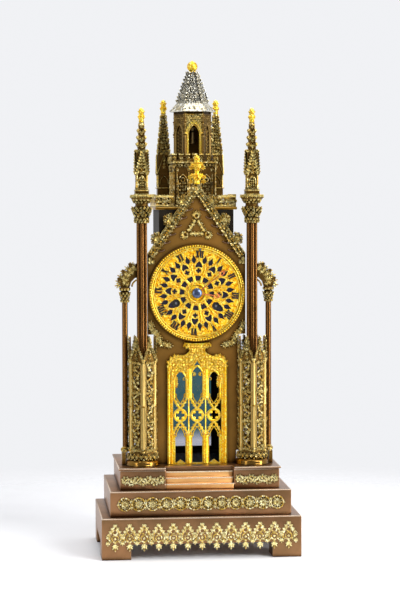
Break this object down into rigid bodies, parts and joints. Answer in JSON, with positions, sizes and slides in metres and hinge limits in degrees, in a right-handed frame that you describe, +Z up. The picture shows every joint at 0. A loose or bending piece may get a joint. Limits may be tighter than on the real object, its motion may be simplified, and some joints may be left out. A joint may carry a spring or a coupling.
{
  "type": "mantel clock",
  "caption": "Gothic cathedral mantel clock: tiered plinth, portal, rose-window dial, gable, columns, pinnacles and belfry, with a striking pendulum movement behind a rear door.",
  "frame": {"origin": "middle of the footprint, on the surface that the clock stands on", "axes": "+X to the right seen from the front, +Y from the front to the back, +Z up"},
  "size_m": [0.25, 0.166, 0.6242],
  "materials": {
    "bronze_patina": "brown patinated bronze, satin",
    "copper_gilt": "copper-coloured gilding, satin",
    "ormolu": "pale gilt bronze, finely chased",
    "gilt_bright": "bright yellow gilding",
    "column_bronze": "polished brown bronze",
    "silver_gilt": "pale silvery gilding",
    "navy_backing": "dark blue, glossy",
    "black_enamel": "black enamel",
    "bell_metal": "cast bell metal, turned",
    "glass": "thin clear pane",
    "movement_brass": "lacquered brass, grained",
    "steel": "polished steel"
  },
  "bodies": {
    "case": {"lower_plinth": "bronze_patina", "lambrequin_frieze": "ormolu", "middle_plinth": "bronze_patina", "roundel_frieze": "ormolu", "upper_plinth": "bronze_patina", "scroll_mounts": "ormolu", "terrace_slab": "bronze_patina", "steps": "copper_gilt", "facade_plate": "bronze_patina", "gable_cornice": "ormolu", "trefoil_mount": "ormolu", "corner_mounts": "ormolu", "gable_finial": "gilt_bright", "dial_bezel": "gilt_bright", "dial_plate": "gilt_bright", "dial_backing": "navy_backing", "numerals": "black_enamel", "portal_frame": "gilt_bright", "portal_tracery": "gilt_bright", "columns": "column_bronze", "column_bases": "ormolu", "column_sleeves": "ormolu", "capitals": "ormolu", "pinnacles": "ormolu", "pinnacle_finials": "gilt_bright", "outer_columns": "column_bronze", "outer_bases": "ormolu", "outer_capitals": "ormolu", "flying_buttresses": "ormolu", "nave_walls": "bronze_patina", "parapet": "ormolu", "tower_stage": "ormolu", "belfry": "ormolu", "tower_roof": "silver_gilt", "roof_finial": "gilt_bright", "rear_pinnacles": "ormolu", "movement_frame": "movement_brass", "suspension_cock": "movement_brass", "strike_bell": "bell_metal"},
    "minute_works": {"centre_wheel": "movement_brass", "minute_hand": "navy_backing"},
    "hour_works": {"hour_wheel": "movement_brass", "hour_hand": "gilt_bright"},
    "minute_wheel": {"minute_wheel": "movement_brass"},
    "second_wheel": {"second_wheel": "movement_brass"},
    "going_barrel": {"going_barrel": "movement_brass"},
    "going_arbor": {"going_arbor": "steel"},
    "strike_barrel": {"strike_barrel": "movement_brass"},
    "strike_arbor": {"strike_arbor": "steel"},
    "pin_wheel": {"pin_wheel": "movement_brass"},
    "third_wheel": {"third_wheel": "movement_brass"},
    "escape_wheel": {"escape_wheel": "movement_brass"},
    "pallets": {"pallets": "steel"},
    "pendulum": {"pendulum": "movement_brass"},
    "hammer": {"hammer": "steel"},
    "regulator": {"regulator_arbor": "steel"},
    "belfry_bell": {"belfry_bell": "bell_metal"},
    "rear_door": {"rear_door": "bronze_patina", "rear_door_glass": "glass"},
    "door_latch": {"door_latch": "movement_brass"}
  },
  "joints": [
    {"name": "minute_spin", "type": "hinge", "parent": "case", "child": "minute_works", "pos_m": [0, 0, 0.3282], "axis": [0, 1, 0], "continuous": true},
    {"name": "hour_spin", "type": "hinge", "parent": "case", "child": "hour_works", "pos_m": [0, 0, 0.3282], "axis": [0, 1, 0], "continuous": true},
    {"name": "minute_wheel_spin", "type": "hinge", "parent": "case", "child": "minute_wheel", "pos_m": [0.01156, 0, 0.33143], "axis": [0, 1, 0], "continuous": true},
    {"name": "second_wheel_spin", "type": "hinge", "parent": "case", "child": "second_wheel", "pos_m": [0.01306, 0, 0.32316], "axis": [0, 1, 0], "continuous": true},
    {"name": "going_barrel_spin", "type": "hinge", "parent": "case", "child": "going_barrel", "pos_m": [0.02434, 0, 0.31153], "axis": [0, 1, 0], "continuous": true},
    {"name": "going_winding", "type": "hinge", "parent": "case", "child": "going_arbor", "pos_m": [0.02434, 0, 0.31153], "axis": [0, 1, 0], "continuous": true},
    {"name": "strike_barrel_spin", "type": "hinge", "parent": "case", "child": "strike_barrel", "pos_m": [-0.0266, 0, 0.31545], "axis": [0, 1, 0], "continuous": true},
    {"name": "strike_winding", "type": "hinge", "parent": "case", "child": "strike_arbor", "pos_m": [-0.0266, 0, 0.31545], "axis": [0, 1, 0], "continuous": true},
    {"name": "pin_wheel_spin", "type": "hinge", "parent": "case", "child": "pin_wheel", "pos_m": [-0.02258, 0, 0.33114], "axis": [0, 1, 0], "continuous": true},
    {"name": "third_wheel_spin", "type": "hinge", "parent": "case", "child": "third_wheel", "pos_m": [-0.00556, 0, 0.33951], "axis": [0, 1, 0], "continuous": true},
    {"name": "escape_spin", "type": "hinge", "parent": "case", "child": "escape_wheel", "pos_m": [0.00138, 0, 0.34615], "axis": [0, 1, 0], "continuous": true},
    {"name": "pendulum_swing", "type": "hinge", "parent": "case", "child": "pendulum", "pos_m": [0.0023, 0, 0.35811], "axis": [0, 1, 0], "range_deg": [-3, 3]},
    {"name": "pallets_swing", "type": "hinge", "parent": "case", "child": "pallets", "pos_m": [0.0023, 0, 0.35811], "axis": [0, 1, 0], "range_deg": [-3, 3]},
    {"name": "hammer_swing", "type": "hinge", "parent": "case", "child": "hammer", "pos_m": [-0.03528, 0, 0.33894], "axis": [0, 1, 0], "range_deg": [-25, 6], "stiffness_Nm_per_rad": 0.02},
    {"name": "regulator_turn", "type": "hinge", "parent": "case", "child": "regulator", "pos_m": [0.00424, 0, 0.38334], "axis": [0, 1, 0], "range_deg": [-180, 180]},
    {"name": "bell_swing", "type": "hinge", "parent": "case", "child": "belfry_bell", "pos_m": [0, 0.032, 0.5385], "axis": [1, 0, 0], "range_deg": [-18, 18]},
    {"name": "rear_door_hinge", "type": "hinge", "parent": "case", "child": "rear_door", "pos_m": [-0.0384, 0.0799, 0.2], "axis": [0, 0, 1], "range_deg": [0, 110]},
    {"name": "latch_turn", "type": "hinge", "parent": "rear_door", "child": "door_latch", "pos_m": [0.031, 0.08, 0.2435], "axis": [0, 1, 0], "range_deg": [0, 90]}
  ],
  "couplings": [
    {"joint": "hour_spin", "follows": "minute_spin", "ratio": 0.083333},
    {"joint": "minute_wheel_spin", "follows": "minute_spin", "ratio": -0.33333},
    {"joint": "second_wheel_spin", "follows": "minute_spin", "ratio": -0.16667},
    {"joint": "going_barrel_spin", "follows": "minute_spin", "ratio": 0.033333},
    {"joint": "third_wheel_spin", "follows": "minute_spin", "ratio": -8},
    {"joint": "escape_spin", "follows": "minute_spin", "ratio": 56},
    {"joint": "pin_wheel_spin", "follows": "strike_barrel_spin", "ratio": -5},
    {"joint": "pallets_swing", "follows": "pendulum_swing", "ratio": 1}
  ]
}
